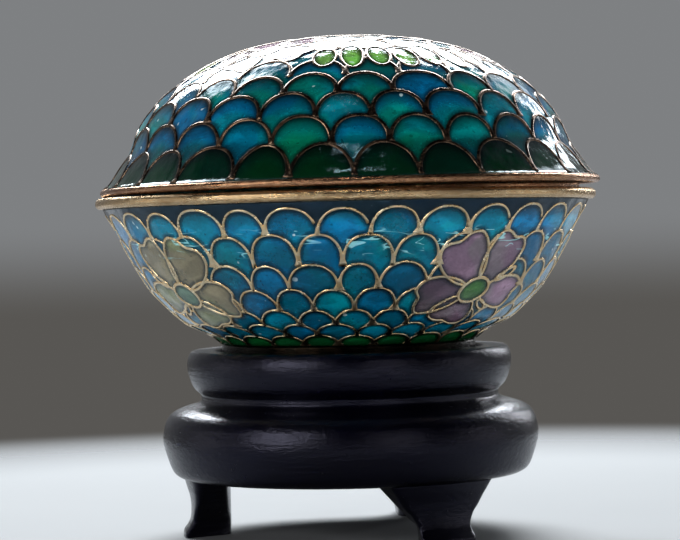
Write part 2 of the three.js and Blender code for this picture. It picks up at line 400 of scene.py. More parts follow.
# Legs: three short bracket feet sawn from the same wood, each curved to the drum in front,
# narrow at the ankle and flared at the toe, glued under the drum and lacquered with it.
LEG_AZIMUTHS = {"right": 33.5, "rear": 153.5, "left": 273.5}
LEG_RADIUS = 29.6
LEG_BACK = 21.0
LEG_ROWS = 72
LEG_FRONT = [(0, 5.6), (0.12, 5.7), (0.27, 5.5), (0.45, 6.2), (0.6, 7.6), (0.81, 9.1), (1, 10.5)]
LEG_REAR = [(0, 0.9), (0.17, 0.9), (0.4, 3.0), (0.7, 6.3), (1, 9.6)]
LEG_FACE = [
    (0, LEG_RADIUS + 0.3),
    (0.06, LEG_RADIUS + 0.3),
    (0.19, LEG_RADIUS - 0.48),
    (0.33, LEG_RADIUS - 1.03),
    (0.5, LEG_RADIUS - 1.15),
    (0.68, LEG_RADIUS - 0.94),
    (0.85, LEG_RADIUS - 0.44),
    (1, LEG_RADIUS),
]


def leg_mesh(azimuth):
    """Loft of level slices from toe to top. A slice is a round front, two straight sides that
    draw in to a narrower back, and corners rounded by a few rounds of softening."""
    share = np.linspace(0, 1, LEG_ROWS)
    front, rear, face = (
        np.interp(share, *curve(line, 12).T)[:, None] for line in (LEG_FRONT, LEG_REAR, LEG_FACE)
    )
    across = np.linspace(1, -1, 25)[None, :] * front
    arc = np.stack([across, -np.sqrt(face**2 - across**2)], axis=-1)
    t = np.linspace(0, 1, 13)[None, 1:, None]
    corner = np.stack([-rear, np.full_like(rear, -LEG_BACK)], axis=-1)
    side = arc[:, -1:] + (corner - arc[:, -1:]) * t
    other = side[:, ::-1] * (-1, 1)
    ring = np.concatenate([arc, side, other[:, 1:]], axis=1)
    for _ in range(2):
        ring = (np.roll(ring, 1, axis=1) + 2 * ring + np.roll(ring, -1, axis=1)) / 4
    height = np.broadcast_to(STAND_FOOT * share[:, None], ring.shape[:2])
    turn = math.radians(azimuth)
    x = ring[..., 0] * math.cos(turn) - ring[..., 1] * math.sin(turn)
    y = ring[..., 0] * math.sin(turn) + ring[..., 1] * math.cos(turn)
    points = np.stack([x, y, height], axis=-1).reshape(-1, 3)
    numbers = np.arange(len(points)).reshape(LEG_ROWS, -1)
    onward = np.roll(numbers, -1, axis=1)
    quads = np.stack([numbers[:-1], numbers[1:], onward[1:], onward[:-1]], axis=-1)
    faces = quads.reshape(-1, 4).tolist()
    return points, faces + [numbers[0].tolist(), numbers[-1][::-1].tolist()]


for side_name, azimuth in LEG_AZIMUTHS.items():
    leg = new_piece(f"stand_bracket_{side_name}", *leg_mesh(azimuth), lacquer)
    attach(leg, "root")
    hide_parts(f"stand_leg_{side_name}")


# Foot ring: a plain band of gilt brass soldered under the bowl, which stands in the recess of
# the stand. Its brass is painted near black as painted shade, since it sits in shadow under the
# bowl, and only a sliver of it shows above the collar.
FOOT_RADIUS = 22.4
FOOT_WALL = 1.4
BOWL_BASE = 33.5
BAND_SIDES = 320


def gilt_finish(name, dark, pale, tarnish, brushed):
    """Gilded brass: fine scratches round the piece, and brown tarnish in soft patches and in the
    fine grain."""
    finish = Finish(name, Metallic=1.0, IOR=1.5)
    cloud = finish.noise(finish.place, 130.0, 4.0, 0.6)
    grain = finish.noise(finish.stretched(finish.place, 1, 1, brushed), 600.0, 4.0, 0.6)
    patch = (cloud * 0.65 + grain * 0.35).step(0.46, 0.66)
    metal = finish.mixed(grain.step(0.35, 0.7), dark, pale)
    finish.give(Base_Color=finish.mixed(patch * tarnish, metal, paint(92, 58, 40)))
    finish.give(Roughness=0.16 + grain * 0.14 + patch * 0.2)
    finish.bump(grain * 0.6 + cloud * 0.4, 0.35, 0.0003)
    return finish


def band(name, corners, finish, place=None):
    """Ring turned from a closed section of corner points, which are rounded a little."""
    section = np.vstack([corners, corners[:1]])
    section = softened(evened(section, 73)[:-1], 4, closed=True)
    points, faces = turned_mesh(section, BAND_SIDES)
    return new_piece(name, points if place is None else place(points), faces, finish)


# Near-black bronze: painted shade for the foot ring in the shadow under the bowl.
shaded_bronze = gilt_finish("shaded_bronze", paint(12, 13, 11), paint(28, 26, 22), 0.08, 10)
foot_ring = band("foot_ring_band", [
    (FOOT_RADIUS - FOOT_WALL, RECESS_FLOOR),
    (FOOT_RADIUS, RECESS_FLOOR),
    (FOOT_RADIUS, BOWL_BASE),
    (FOOT_RADIUS - FOOT_WALL, BOWL_BASE),
], shaded_bronze)
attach(foot_ring, "root")
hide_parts("bowl_foot_ring")


# Wires of the bowl: flat brass wire bent by hand into seven rows of round scales and four
# blossoms, set on edge right through the wall and gilded. The feet of the scales are soldered
# to the wire below them.
BOWL_TOP = 57.6
MOUTH_RADIUS = 42.9
WALL_THICKNESS = 1.0
WIRE_WIDTH = 0.46
WIRE_POINTS = 22
BOWL_OUTLINE = [
    (0.0, 0.0),
    (0.125, 0.079),
    (0.315, 0.158),
    (0.475, 0.282),
    (0.605, 0.402),
    (0.775, 0.643),
    (0.912, 0.863),
    (1.0, 1.0),
]
BOWL_ROWS = [
    (56.5, 30, -0.5),
    (52.2, 30, 5.6),
    (47.4, 30, 2.9),
    (43.3, 30, 8.4),
    (39.8, 30, 1.5),
    (37.3, 27, 8.8),
    (35.3, 24, 3.8),
]
FLOWER_AZIMUTHS = (37.6, 127.6, 217.6, -52.4)
FLOWER_HEIGHT = 42.4


class Wall:
    """The outer face of an enamel wall. Reach is the distance along its outline, and every
    reach has a radius, a height and an outward direction."""

    def __init__(self, outline, lowest, highest):
        self.radius, self.height = np.asarray(outline, dtype=float).T
        self.lowest, self.highest = lowest, highest
        steps = np.hypot(np.diff(self.radius), np.diff(self.height))
        self.reach = np.concatenate([[0], np.cumsum(steps)])
        out = np.gradient(self.height, self.reach)
        up = -np.gradient(self.radius, self.reach)
        length = np.hypot(out, up)
        self.out, self.up = out / length, up / length

    def radius_at(self, reach):
        return np.interp(reach, self.reach, self.radius)

    def at(self, azimuth, reach, depth=0.0):
        """Point at an azimuth in radians from the front and a reach, sunk in by depth."""
        radius = self.radius_at(reach) - depth * np.interp(reach, self.reach, self.out)
        height = np.interp(reach, self.reach, self.height)
        height = height - depth * np.interp(reach, self.reach, self.up)
        height = np.clip(height, self.lowest, self.highest)
        x = radius * np.sin(azimuth)
        y = -radius * np.cos(azimuth)
        return np.stack(np.broadcast_arrays(x, y, height), axis=-1)


class ScaleRow:
    """A row of round scales side by side. Neighbours share a foot, and a scale's edge is a
    superellipse from foot over apex to foot, drop high."""

    def __init__(self, apex, count, azimuth, drop, solder, chance):
        step = 2 * math.pi / count
        feet = math.radians(azimuth) + (np.arange(count + 1) - 0.5) * step
        feet[:-1] += chance.uniform(-0.07, 0.07, count) * step
        feet[-1] = feet[0] + 2 * math.pi
        self.feet = feet
        self.middle = (feet[1:] + feet[:-1]) / 2
        self.half = (feet[1:] - feet[:-1]) / 2
        self.apex = apex + chance.uniform(-0.22, 0.22, count)
        self.drop = drop
        self.solder = solder * chance.uniform(0.3, 1.7, count) ** 1.5
        self.power = chance.uniform(2.0, 2.35, count)
        self.count = count

    def edge(self, azimuth):
        """Reach of the row's upper edge at each azimuth, and the number of the scale there."""
        turned = np.mod(azimuth - self.feet[0], 2 * math.pi) + self.feet[0]
        number = np.clip(np.searchsorted(self.feet, turned, "right") - 1, 0, self.count - 1)
        share = np.clip(np.abs(turned - self.middle[number]) / self.half[number], 0, 1)
        power = self.power[number]
        return self.apex[number] - self.drop * (1 - (1 - share**power) ** (1 / power)), number

    def arch(self, number):
        """Azimuth, reach and width factor along one scale's edge. Both feet are wider, where
        solder fills the corner."""
        turn = np.linspace(-math.pi / 2, math.pi / 2, 121)
        power = self.power[number]
        share = np.sign(turn) * np.abs(np.sin(turn)) ** (2 / power)
        fall = 1 - np.abs(np.cos(turn)) ** (2 / power)
        azimuth = self.middle[number] + share * self.half[number]
        reach = self.apex[number] - self.drop * fall
        return np.stack([azimuth, reach, 1 + self.solder[number] * fall**4], axis=-1)


def inside(polygon, first, second):
    """True where the point (first, second) lies in the polygon: an odd number of its edges
    crosses the ray from the point."""
    low, high = polygon.min(axis=0), polygon.max(axis=0)
    boxed = (first > low[0]) & (first < high[0]) & (second > low[1]) & (second < high[1])
    a, b = first[boxed], second[boxed]
    odd = np.zeros(len(a), dtype=bool)
    for (a1, b1), (a2, b2) in zip(polygon, np.roll(polygon, -1, axis=0)):
        slope = (a2 - a1) / (b2 - b1 if b2 != b1 else 1e-9)
        odd ^= ((b1 > b) != (b2 > b)) & (a < a1 + (b - b1) * slope)
    found = np.zeros(np.shape(first), dtype=bool)
    found[boxed] = odd
    return found


def petal(direction, length, width, lean):
    """Closed outline of a petal with two lobes: narrow at the blossom's middle, widest near its
    end, with a notch between the lobes. Lean moves the longer lobe to one side."""
    half = width / 2
    along = np.array([0.18, 0.3, 0.48, 0.7, 0.88, 0.97 - 0.05 * lean, 0.96 - 0.03 * lean, 0.93])
    across = np.array([0.3, 0.62, 0.88, 1.0, 0.92, 0.64, 0.3, 0.02])
    back = np.array([0.97 + 0.05 * lean, 0.9 + 0.03 * lean, 0.72, 0.5, 0.3, 0.18])
    off = np.array([-0.46, -0.88, -1.0, -0.88, -0.62, -0.3])
    line = np.stack([np.r_[along, back] * length, np.r_[across, off] * half], axis=-1)
    line = curve(np.vstack([line, line[:1]]), 8)[:-1]
    turn = math.radians(direction)
    u, v = line.T
    x = u * math.cos(turn) - v * math.sin(turn)
    y = u * math.sin(turn) + v * math.cos(turn)
    return np.stack([x, y], axis=-1)


def loop(direction, start, end, width):
    """Closed slender loop between two petals, or the oval middle of a blossom."""
    turn = np.linspace(0, 2 * math.pi, 48, endpoint=False)
    u = (start + end) / 2 + (end - start) / 2 * np.cos(turn)
    v = width / 2 * np.sin(turn)
    a = math.radians(direction)
    return np.stack([u * math.cos(a) - v * math.sin(a), u * math.sin(a) + v * math.cos(a)], axis=-1)


def clear_of_middle(part, direction, long_half, short_half):
    """Pushes the points that lie inside an oval straight out to its edge."""
    a = math.radians(direction)
    u = (part[:, 0] * math.cos(a) + part[:, 1] * math.sin(a)) / long_half
    v = (part[:, 1] * math.cos(a) - part[:, 0] * math.sin(a)) / short_half
    return part / np.minimum(np.hypot(u, v), 1.0)[:, None]


def blossom(mirror, size=1.0):
    """Outlines of one blossom in millimetres: its oval middle, five petals and two loops."""
    parts = [loop(25, -2.9, 2.9, 5.1)]
    for direction, length, width, lean in (
        (123, 12.4, 9.0, -0.2),
        (62, 12.4, 7.8, 0.6),
        (-5, 11.0, 7.2, -0.6),
        (-112, 8.2, 8.6, 0.4),
        (187, 11.0, 8.0, 0.8),
    ):
        outline = petal(direction, length, width, lean)
        parts.append(clear_of_middle(outline, 25, 3.0, 2.65))
    parts.append(loop(29, 4.4, 9.2, 1.2))
    parts.append(loop(-44, 3.3, 6.4, 1.3))
    return [part * size * ((-1, 1) if mirror else (1, 1)) for part in parts]


def broken_runs(line, keep, points, scale):
    """The kept stretches of a line, each with the same number of points at even distances.
    Scale gives the millimetres of one radian of azimuth."""
    edges = np.flatnonzero(np.diff(np.r_[0, keep.astype(int), 0]))
    runs = []
    for start, end in zip(edges[::2], edges[1::2]):
        if end - start > 5:
            run = line[start:end] * (scale, 1, 1)
            runs.append(evened(run, points) / (scale, 1, 1))
    return runs


# Across and height of the wire's section, as shares of half its width and in millimetres
WIRE_SECTION = np.array([
    (-1.0, -0.07), (-0.7, 0.03), (0.0, 0.08), (0.7, 0.03), (1.0, -0.07),
    (0.9, -1.0), (0.0, -1.07), (-0.9, -1.0),
])


def wire_mesh(wall, lines, closed):
    """Points and faces of wires set through a wall. Lines is an array of azimuth, reach and
    width factor. The section is laid across each line on the wall's own surface."""
    azimuth, reach, factor = np.moveaxis(np.asarray(lines), -1, 0)
    radius = np.maximum(wall.radius_at(reach), 0.8)
    if closed:
        turn = (np.roll(azimuth, -1, 1) - np.roll(azimuth, 1, 1)) * radius
        rise = np.roll(reach, -1, 1) - np.roll(reach, 1, 1)
    else:
        turn = np.gradient(azimuth, axis=1) * radius
        rise = np.gradient(reach, axis=1)
    length = np.maximum(np.hypot(turn, rise), 1e-9)
    half = WIRE_WIDTH / 2 * factor
    across, lift = WIRE_SECTION.T
    side_turn = (-rise / length * half / radius)[..., None] * across
    side_reach = (turn / length * half)[..., None] * across
    points = wall.at(azimuth[..., None] + side_turn, reach[..., None] + side_reach, -lift)
    numbers = np.arange(points[..., 0].size).reshape(points.shape[:3])
    onward = np.roll(numbers, -1, axis=2)
    if closed:
        ahead, ahead_on = np.roll(numbers, -1, axis=1), np.roll(onward, -1, axis=1)
        quads = np.stack([numbers, ahead, ahead_on, onward], axis=-1)
        caps = []
    else:
        quads = np.stack([numbers[:, :-1], numbers[:, 1:], onward[:, 1:], onward[:, :-1]], axis=-1)
        caps = numbers[:, 0].tolist() + numbers[:, -1, ::-1].tolist()
    return points.reshape(-1, 3), quads.reshape(-1, 4).tolist() + caps


def joined(meshes):
    """Several meshes as one list of points and one of faces."""
    points, faces = [], []
    for more_points, more_faces in meshes:
        start = sum(len(part) for part in points)
        points.append(more_points)
        faces += [[corner + start for corner in face] for face in more_faces]
    return np.vstack(points), faces


bowl_chance = np.random.default_rng(20)
bowl_outline = curve([
    (FOOT_RADIUS + (MOUTH_RADIUS - FOOT_RADIUS) * out, BOWL_BASE + (BOWL_TOP - BOWL_BASE) * up)
    for out, up in BOWL_OUTLINE
], 24)
bowl_floor = [(radius, BOWL_BASE) for radius in np.linspace(0, FOOT_RADIUS, 12)[:-1]]
bowl_wall = Wall(np.vstack([bowl_floor, bowl_outline]), BOWL_BASE, BOWL_TOP)
bowl_apexes = np.interp([row[0] for row in BOWL_ROWS], bowl_wall.height, bowl_wall.reach)
bowl_drops = np.append(-np.diff(bowl_apexes), 2.6) + 0.3
bowl_rows = [
    ScaleRow(apex, count, azimuth, drop, 2.2, bowl_chance)
    for apex, drop, (_, count, azimuth) in zip(bowl_apexes, bowl_drops, BOWL_ROWS)
]
flower_reach = float(np.interp(FLOWER_HEIGHT, bowl_wall.height, bowl_wall.reach))
flower_parts = [blossom(mirror) for mirror in (False, True, False, True)]


def from_flower(azimuth, reach, centre):
    """Millimetres to the side of and above a blossom's middle, along the wall."""
    away = np.mod(azimuth - math.radians(centre) + math.pi, 2 * math.pi) - math.pi
    return away * bowl_wall.radius_at(reach), reach - flower_reach


def in_flowers(azimuth, reach):
    """True where any petal, middle or loop of a blossom covers the wall."""
    covered = np.zeros(np.shape(azimuth), dtype=bool)
    for centre, parts in zip(FLOWER_AZIMUTHS, flower_parts):
        away, above = from_flower(azimuth, reach, centre)
        for part in parts:
            covered |= inside(part, away, above)
    return covered


bowl_lines = []
for place, row in enumerate(bowl_rows):
    for number in range(row.count):
        line = row.arch(number)
        keep = ~in_flowers(line[:, 0], line[:, 1])
        if place + 1 < len(bowl_rows):
            keep &= line[:, 1] >= bowl_rows[place + 1].edge(line[:, 0])[0] - 0.1
        keep &= line[:, 1] > FOOT_RADIUS + 0.1
        loose = abs(row.middle[number] - 0.75) < 0.45 or bowl_chance.random() < 0.3
        if place == 0 and loose:
            keep &= line[:, 0] < row.middle[number] + row.half[number] * bowl_chance.uniform(0.86, 0.98)
        bowl_lines += broken_runs(line, keep, WIRE_POINTS, 40.0)

flower_lines = []
for centre, parts in zip(FLOWER_AZIMUTHS, flower_parts):
    for part in parts:
        part = evened(np.vstack([part, part[:1]]), 57)[:-1]
        reach = part[:, 1] + flower_reach
        azimuth = math.radians(centre) + part[:, 0] / bowl_wall.radius_at(reach)
        flower_lines.append(np.stack([azimuth, reach, np.full(len(reach), 1.2)], axis=-1))

gilt_wire = gilt_finish("gilt_wire", paint(246, 212, 158), paint(255, 240, 206), 0.25, 1.5)
bowl_wires = new_piece("bowl_wires", *joined([
    wire_mesh(bowl_wall, bowl_lines, False),
    wire_mesh(bowl_wall, flower_lines, True),
]), gilt_wire)
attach(bowl_wires, "root")


# Enamel of the bowl: clear coloured glass melted into the cells between the wires with no metal
# behind it, so light comes through. Ground almost level with the wires, a little hollow in each
# cell, with bubbles and specks inside, and bright crinkles painted on as highlights.
SHELL_SIDES = 600
STREAK_EDGE = 0.001
GLASS_SUNK = 0.03
GLASS_HOLLOW = 0.09
TEALS = np.array([linear(2, 102, 138), linear(0, 96, 138), linear(2, 108, 134), linear(4, 88, 122)])
BOWL_GREEN = linear(20, 98, 52)
BOWL_BAND = linear(14, 36, 58)
MAUVE = linear(138, 112, 132)
OLIVE = linear(130, 122, 98)
MAUVE_SHADES = (1.0, 1.3, 1.15, 1.55, 0.75, 0.5, 1.0, 1.0)
OLIVE_SHADES = (1.0, 1.1, 1.15, 1.05, 1.1, 1.25, 1.0, 1.0)


def distance_to(points, lines):
    """Distance in millimetres from each point to the nearest point of the lines, worked out in
    sectors round the axis."""
    nearest = np.full(len(points), 9.0)
    turn = np.arctan2(points[:, 0], -points[:, 1])
    line_turn = np.arctan2(lines[:, 0], -lines[:, 1])
    for start in np.linspace(-math.pi, math.pi, 48, endpoint=False):
        picked = np.flatnonzero((turn >= start) & (turn < start + math.pi / 24))
        gap = np.abs(np.mod(line_turn - start - math.pi / 48 + math.pi, 2 * math.pi) - math.pi)
        near = lines[(gap < math.pi / 14) | (np.hypot(lines[:, 0], lines[:, 1]) < 12)]
        if len(picked) and len(near):
            for part in np.array_split(picked, 4):
                square = ((points[part, None, :] - near[None, :, :]) ** 2).sum(-1)
                nearest[part] = np.sqrt(square.min(axis=1))
    return nearest


def enamel_finish(name, streak_low, streak_high, drift):
    """Clear enamel: the cell's own colour with cloudy mottling, dark specks and bubbles. Part
    of the light goes through it, and part is a painted glow: emission in the cell's colour,
    scaled by the lit attribute and by soft patches, which stands in for glass lit from behind.
    Painted highlights, as bright crinkles, run level round the wall between two heights, given in
    metres, with small painted glints, and the colour drifts towards green in soft patches."""
    finish = Finish(name, IOR=1.6, Transmission_Weight=0.45, Specular_Tint=(0.5, 0.8, 1.0, 1.0))
    tint = finish.node("ShaderNodeAttribute", {"attribute_name": "tint"}, {}, "Color")
    lit = finish.node("ShaderNodeAttribute", {"attribute_name": "lit"}, {}, "Fac")
    cloud = finish.noise(finish.place, 170.0, 4.0, 0.6)
    patch = finish.noise(finish.stretched(finish.place, 1, 1, 2.6), 110.0, 5.0, 0.6, 0.5)
    fleck = finish.noise(finish.place, 1900.0, 3.0, 0.6)
    specks = finish.noise(finish.place, 900.0, 1.0).step(0.68, 0.74)
    shade = 0.46 + cloud * 0.5 + fleck * 0.54 - specks * 0.34
    turn = finish.noise(finish.place, 95.0, 2.0, 0.5, 0.4).step(0.48, 0.60)
    tint = finish.mixed(turn * drift, tint, (0.55, 1.7, 0.62, 1.0), "MULTIPLY")
    base = finish.scaled(tint, shade)
    height = finish.node("ShaderNodeSeparateXYZ", {}, {0: finish.place}, "Z")
    level = height.step(streak_low, streak_low + STREAK_EDGE)
    level = level * (1 - height.step(streak_high - STREAK_EDGE, streak_high))
    # Painted highlights: thin bright crinkles in emission, between two heights, for light caught by
    # wavy glass.
    streak_noise = finish.noise(finish.stretched(finish.place, 1, 1, 5), 100.0, 2.0, 0.5, 0.8)
    crinkle_highlight = (1 - ((streak_noise - 0.5) * (streak_noise - 0.5) * 2600).step(0.0, 1.0)) * level
    crinkle_highlight = crinkle_highlight * finish.noise(finish.place, 200.0, 1.0).step(0.53, 0.58)
    # Painted glow: emission scaled by lit and soft patches, for light coming through from behind.
    glow = lit * (0.62 + patch.step(0.48, 0.58) * 0.6) * shade
    emission = finish.scaled(tint, glow)
    emission = finish.mixed(crinkle_highlight * 0.8, emission, paint(150, 215, 220))
    # Painted glints: tiny bright specks in emission where the glass is lit.
    glint = finish.noise(finish.place, 700.0, 0.0).step(0.83, 0.86) * lit
    emission = finish.mixed(glint * 0.8, emission, paint(205, 226, 226))
    finish.give(Base_Color=base, Emission_Color=emission, Emission_Strength=0.75)
    finish.give(Roughness=0.05 + cloud * 0.07)
    wave = finish.noise(finish.place, 150.0, 1.0)
    ripple = finish.noise(finish.place, 330.0, 1.0)
    finish.bump(wave * 0.6 + ripple * 0.3 + cloud * 0.2 + fleck * 0.05, 0.9, 0.0007)
    return finish


def shell_mesh(wall, reaches, turned_over, cells, lines):
    """Closed shell of even thickness on a wall whose outline ends on the axis: points, faces,
    tint and lit. The outer face is hollow by a few hundredths of a millimetre in the middle of
    each cell, and colour and painted brightness sink close to a wire as painted shade."""
    outer, inner = reaches
    reach = np.r_[inner, outer] if turned_over else np.r_[outer, inner]
    sunk = np.r_[np.ones(len(inner)), np.zeros(len(outer))]
    sunk = sunk if turned_over else 1 - np.r_[np.ones(len(outer)), np.zeros(len(inner))]
    azimuth = np.arange(SHELL_SIDES) * 2 * math.pi / SHELL_SIDES
    reach, around = np.meshgrid(reach, azimuth, indexing="ij")
    far = distance_to(wall.at(around, reach).reshape(-1, 3), lines).reshape(reach.shape)
    tint, lit = cells(around, reach)
    # Painted shade: tint and lit darken within about a millimetre of a wire.
    near = np.clip((far - 0.2) / 0.85, 0, 1)
    tint = tint * (0.18 + 0.82 * near)[..., None]
    lit = lit * (0.05 + 0.95 * near)
    depth = GLASS_SUNK + GLASS_HOLLOW * (1 - np.exp(-far / 0.7))
    depth = np.where(sunk[:, None] > 0.5, WALL_THICKNESS - GLASS_SUNK, depth)
    points = wall.at(around, reach, depth)
    rows, sides = reach.shape
    poles = points[[0, -1]].mean(axis=1)
    numbers = np.arange((rows - 2) * sides).reshape(rows - 2, sides)
    onward = np.roll(numbers, -1, axis=1)
    quads = np.stack([numbers[:-1], onward[:-1], onward[1:], numbers[1:]], axis=-1)
    faces = quads.reshape(-1, 4).tolist()
    low = (rows - 2) * sides
    faces += [[low, b, a] for a, b in zip(numbers[0].tolist(), onward[0].tolist())]
    faces += [[low + 1, a, b] for a, b in zip(numbers[-1].tolist(), onward[-1].tolist())]
    tints = np.vstack([tint[1:-1].reshape(-1, 3), tint[0, :1], tint[-1, :1]])
    lits = np.r_[lit[1:-1].ravel(), lit[0, 0], lit[-1, 0]]
    return np.vstack([points[1:-1].reshape(-1, 3), poles]), faces, tints, lits


def colour_points(piece, tints, lits):
    """Writes the colour and the painted brightness of every point into the mesh: lit is painted light.
    """
    tint = piece.data.attributes.new("tint", "FLOAT_COLOR", "POINT")
    tint.data.foreach_set("color", np.c_[tints, np.ones(len(tints))].ravel())
    lit = piece.data.attributes.new("lit", "FLOAT", "POINT")
    lit.data.foreach_set("value", lits)


def ramped(value, low, high):
    """Smooth step in numpy."""
    share = np.clip((value - low) / (high - low), 0, 1)
    return share * share * (3 - 2 * share)


row_tints = [
    TEALS[bowl_chance.integers(0, len(TEALS), row.count)]
    * bowl_chance.uniform(0.85, 1.12, (row.count, 1))
    for row in bowl_rows
]
row_tints[-1] = BOWL_GREEN * bowl_chance.uniform(0.8, 1.15, (bowl_rows[-1].count, 1))
flower_tints = [np.outer(MAUVE_SHADES, MAUVE), np.outer(OLIVE_SHADES, OLIVE)] * 2
middle_tints = [linear(84, 128, 62), linear(104, 130, 112)] * 2


def bowl_cells(azimuth, reach):
    """Colour and painted brightness of the bowl's cells: the dark band under the mouth, partly the
    glass's navy and partly painted shade of the rim, then each lower row of scales over the one
    above it, then the blossoms over the scales. Each scale darkens just under its top edge as a
    painted shadow of the wire. Lit is painted light: none at the foot, full by 37 mm, twice as
    strong above 51 mm, dimmed under the mouth where the flange shades it, and less in blossoms."""
    tint = np.broadcast_to(BOWL_BAND, (*reach.shape, 3)).copy()
    for row, colours in zip(bowl_rows, row_tints):
        edge, number = row.edge(azimuth)
        shadow = 0.4 + 0.6 * ramped(edge - reach, 0.3, 1.1)
        tint = np.where((reach <= edge)[..., None], colours[number] * shadow[..., None], tint)
    height = np.interp(reach, bowl_wall.reach, bowl_wall.height)
    # Painted light: brightness by height, for light from behind, with painted shade under the mouth.
    lit = ramped(height, 33.0, 36.8) * (1 - 0.9 * ramped(height, 53.6, 56.0))
    lit *= 0.5 + 0.55 * ramped(height, 50.6, 51.4)
    for centre, parts, petals, middle in zip(FLOWER_AZIMUTHS, flower_parts, flower_tints, middle_tints):
        away, above = from_flower(azimuth, reach, centre)
        for place, part in enumerate(parts):
            covered = inside(part, away, above)
            colour = middle if place == 0 else petals[place]
            tint[covered] = TEALS[0] if place > 5 else colour
            lit[covered] *= 0.7
    return tint, lit


enamel_bowl = enamel_finish("enamel_bowl", 0.0485, 0.0535, 0.2)
bowl_line_points = np.vstack([*bowl_lines, *flower_lines])
bowl_line_points = bowl_wall.at(bowl_line_points[:, 0], bowl_line_points[:, 1])
bowl_end = bowl_wall.reach[-1]
bowl_reaches = (
    np.r_[np.linspace(0, FOOT_RADIUS, 8), np.linspace(FOOT_RADIUS, bowl_end, 86)[1:]],
    np.r_[np.linspace(bowl_end, FOOT_RADIUS, 40), np.linspace(FOOT_RADIUS, 0, 7)[1:]],
)
points, faces, tints, lits = shell_mesh(bowl_wall, bowl_reaches, False, bowl_cells, bowl_line_points)
bowl_glass = new_piece("bowl_glass", points, faces, enamel_bowl)
colour_points(bowl_glass, tints, lits)
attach(bowl_glass, "root")
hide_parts("bowl_enamel")


# Rim of the bowl: a flat gilt brass band soldered along the top of the wall, its edges rounded
# by polishing. The lid rests on it.
BOWL_RIM_TOP = 59.4
RIM_OUTSIDE = 44.0
RIM_INSIDE = 41.6
gilt_band = gilt_finish("gilt_band", paint(200, 164, 118), paint(238, 212, 170), 0.35, 12)
bowl_rim = band("bowl_rim_band", [
    (RIM_OUTSIDE - 0.4, BOWL_TOP),
    (RIM_OUTSIDE, BOWL_TOP + 0.5),
    (RIM_OUTSIDE, BOWL_RIM_TOP - 0.5),
    (RIM_OUTSIDE - 0.5, BOWL_RIM_TOP),
    (RIM_INSIDE, BOWL_RIM_TOP),
    (RIM_INSIDE, BOWL_TOP),
], gilt_band)
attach(bowl_rim, "root")
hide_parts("bowl_rim")


# Rim of the lid: a second gilt band with a thin flange turned down inside, which keeps the lid
# on the bowl. The lid lies a little to one side and not quite level.
LID_SHIFT = 0.87
LID_HEIGHT = 60.0
LID_TILT = math.radians(-0.5)
LID_RIM_HEIGHT = 1.4
FLANGE_OUTSIDE = 40.3
FLANGE_INSIDE = 39.5
FLANGE_DEPTH = 2.2


def settled(points):
    """Moves points from the lid's own frame to where it lies: turned about the sideways axis,
    then shifted."""
    x, y, z = np.asarray(points).T
    turn_cos, turn_sin = math.cos(LID_TILT), math.sin(LID_TILT)
    along = x * turn_cos + z * turn_sin + LID_SHIFT
    return np.stack([along, y, z * turn_cos - x * turn_sin + LID_HEIGHT], axis=-1)


copper_band = gilt_finish("copper_band", paint(150, 104, 76), paint(206, 164, 126), 0.4, 12)
lid_rim = band("lid_rim_band", [
    (RIM_OUTSIDE - 0.4, 0.0),
    (RIM_OUTSIDE, 0.4),
    (RIM_OUTSIDE, LID_RIM_HEIGHT - 0.4),
    (RIM_OUTSIDE - 0.4, LID_RIM_HEIGHT),
    (RIM_INSIDE, LID_RIM_HEIGHT),
    (FLANGE_INSIDE, LID_RIM_HEIGHT - 0.4),
    (FLANGE_INSIDE, -FLANGE_DEPTH),
    (FLANGE_OUTSIDE, -FLANGE_DEPTH),
    (FLANGE_OUTSIDE, 0.0),
], copper_band, settled)
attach(lid_rim, "root")
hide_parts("lid_rim")


# Wires of the lid: rows of the same scales climb the shoulder, and the flat crown has a ring of
# small leaves broken by three blossoms, round a rosette of petals. The gilding here is painted
# dark brown as painted shade, for wires lit from behind.
LID_TOP = 27.0
LID_OUTLINE = [
    (0.944, 0.13),
    (0.909, 0.215),
    (0.874, 0.36),
    (0.82, 0.502),
    (0.743, 0.637),
    (0.655, 0.745),
    (0.536, 0.853),
    (0.41, 0.928),
    (0.256, 0.978),
    (0.12, 0.995),
    (0.0, 1.0),
]
LID_ROWS = [
    (26.1, 12, 3.0),
    (25.2, 15, 9.0),
    (23.6, 18, 2.0),
    (21.4, 21, 7.0),
    (18.8, 23, 5.8),
    (15.6, 24, -1.7),
    (11.5, 25, 2.1),
    (7.0, 25, -5.7),
]
LID_WIRE_SHARE = 1.35
CROWN_AZIMUTHS = (-38.0, 82.0, 202.0)
BLOSSOM_SIZE = 0.84
BLOSSOM_RADIUS = 22.0
BLOSSOM_PARTS = 6
BLOSSOM_CLEAR = 24
LEAF_RADIUS = 25.7
LEAF_COUNT = 36
ROWS_UNDER_CROWN = 6

lid_chance = np.random.default_rng(7)
lid_fillet = [(43.6, LID_RIM_HEIGHT), (42.95, 1.72), (42.25, 2.4)]
lid_outline = lid_fillet + [(MOUTH_RADIUS * out, 1.7 + 25.3 * up) for out, up in LID_OUTLINE]
lid_outline = curve(lid_outline, 20)
lid_wall = Wall(lid_outline, LID_RIM_HEIGHT, LID_TOP - 0.05)
lid_end = lid_wall.reach[-1]
lid_apexes = np.interp([row[0] for row in LID_ROWS], lid_wall.height, lid_wall.reach)
lid_drops = np.append(-np.diff(lid_apexes) + 0.3, lid_apexes[-1] - 0.5)
lid_rows = [
    ScaleRow(apex, count, azimuth, drop, 1.2, lid_chance)
    for apex, drop, (_, count, azimuth) in zip(lid_apexes, lid_drops, LID_ROWS)
]


def moved(part, turn, out):
    """Puts an outline on the crown, seen from above: turned about its own middle, and that
    middle moved out from the axis, both at an azimuth in degrees from the front."""
    a = math.radians(turn)
    u, v = part.T
    x = u * math.cos(a) - v * math.sin(a)
    y = u * math.sin(a) + v * math.cos(a)
    return np.stack([x + out * math.sin(a), y - out * math.cos(a)], axis=-1)


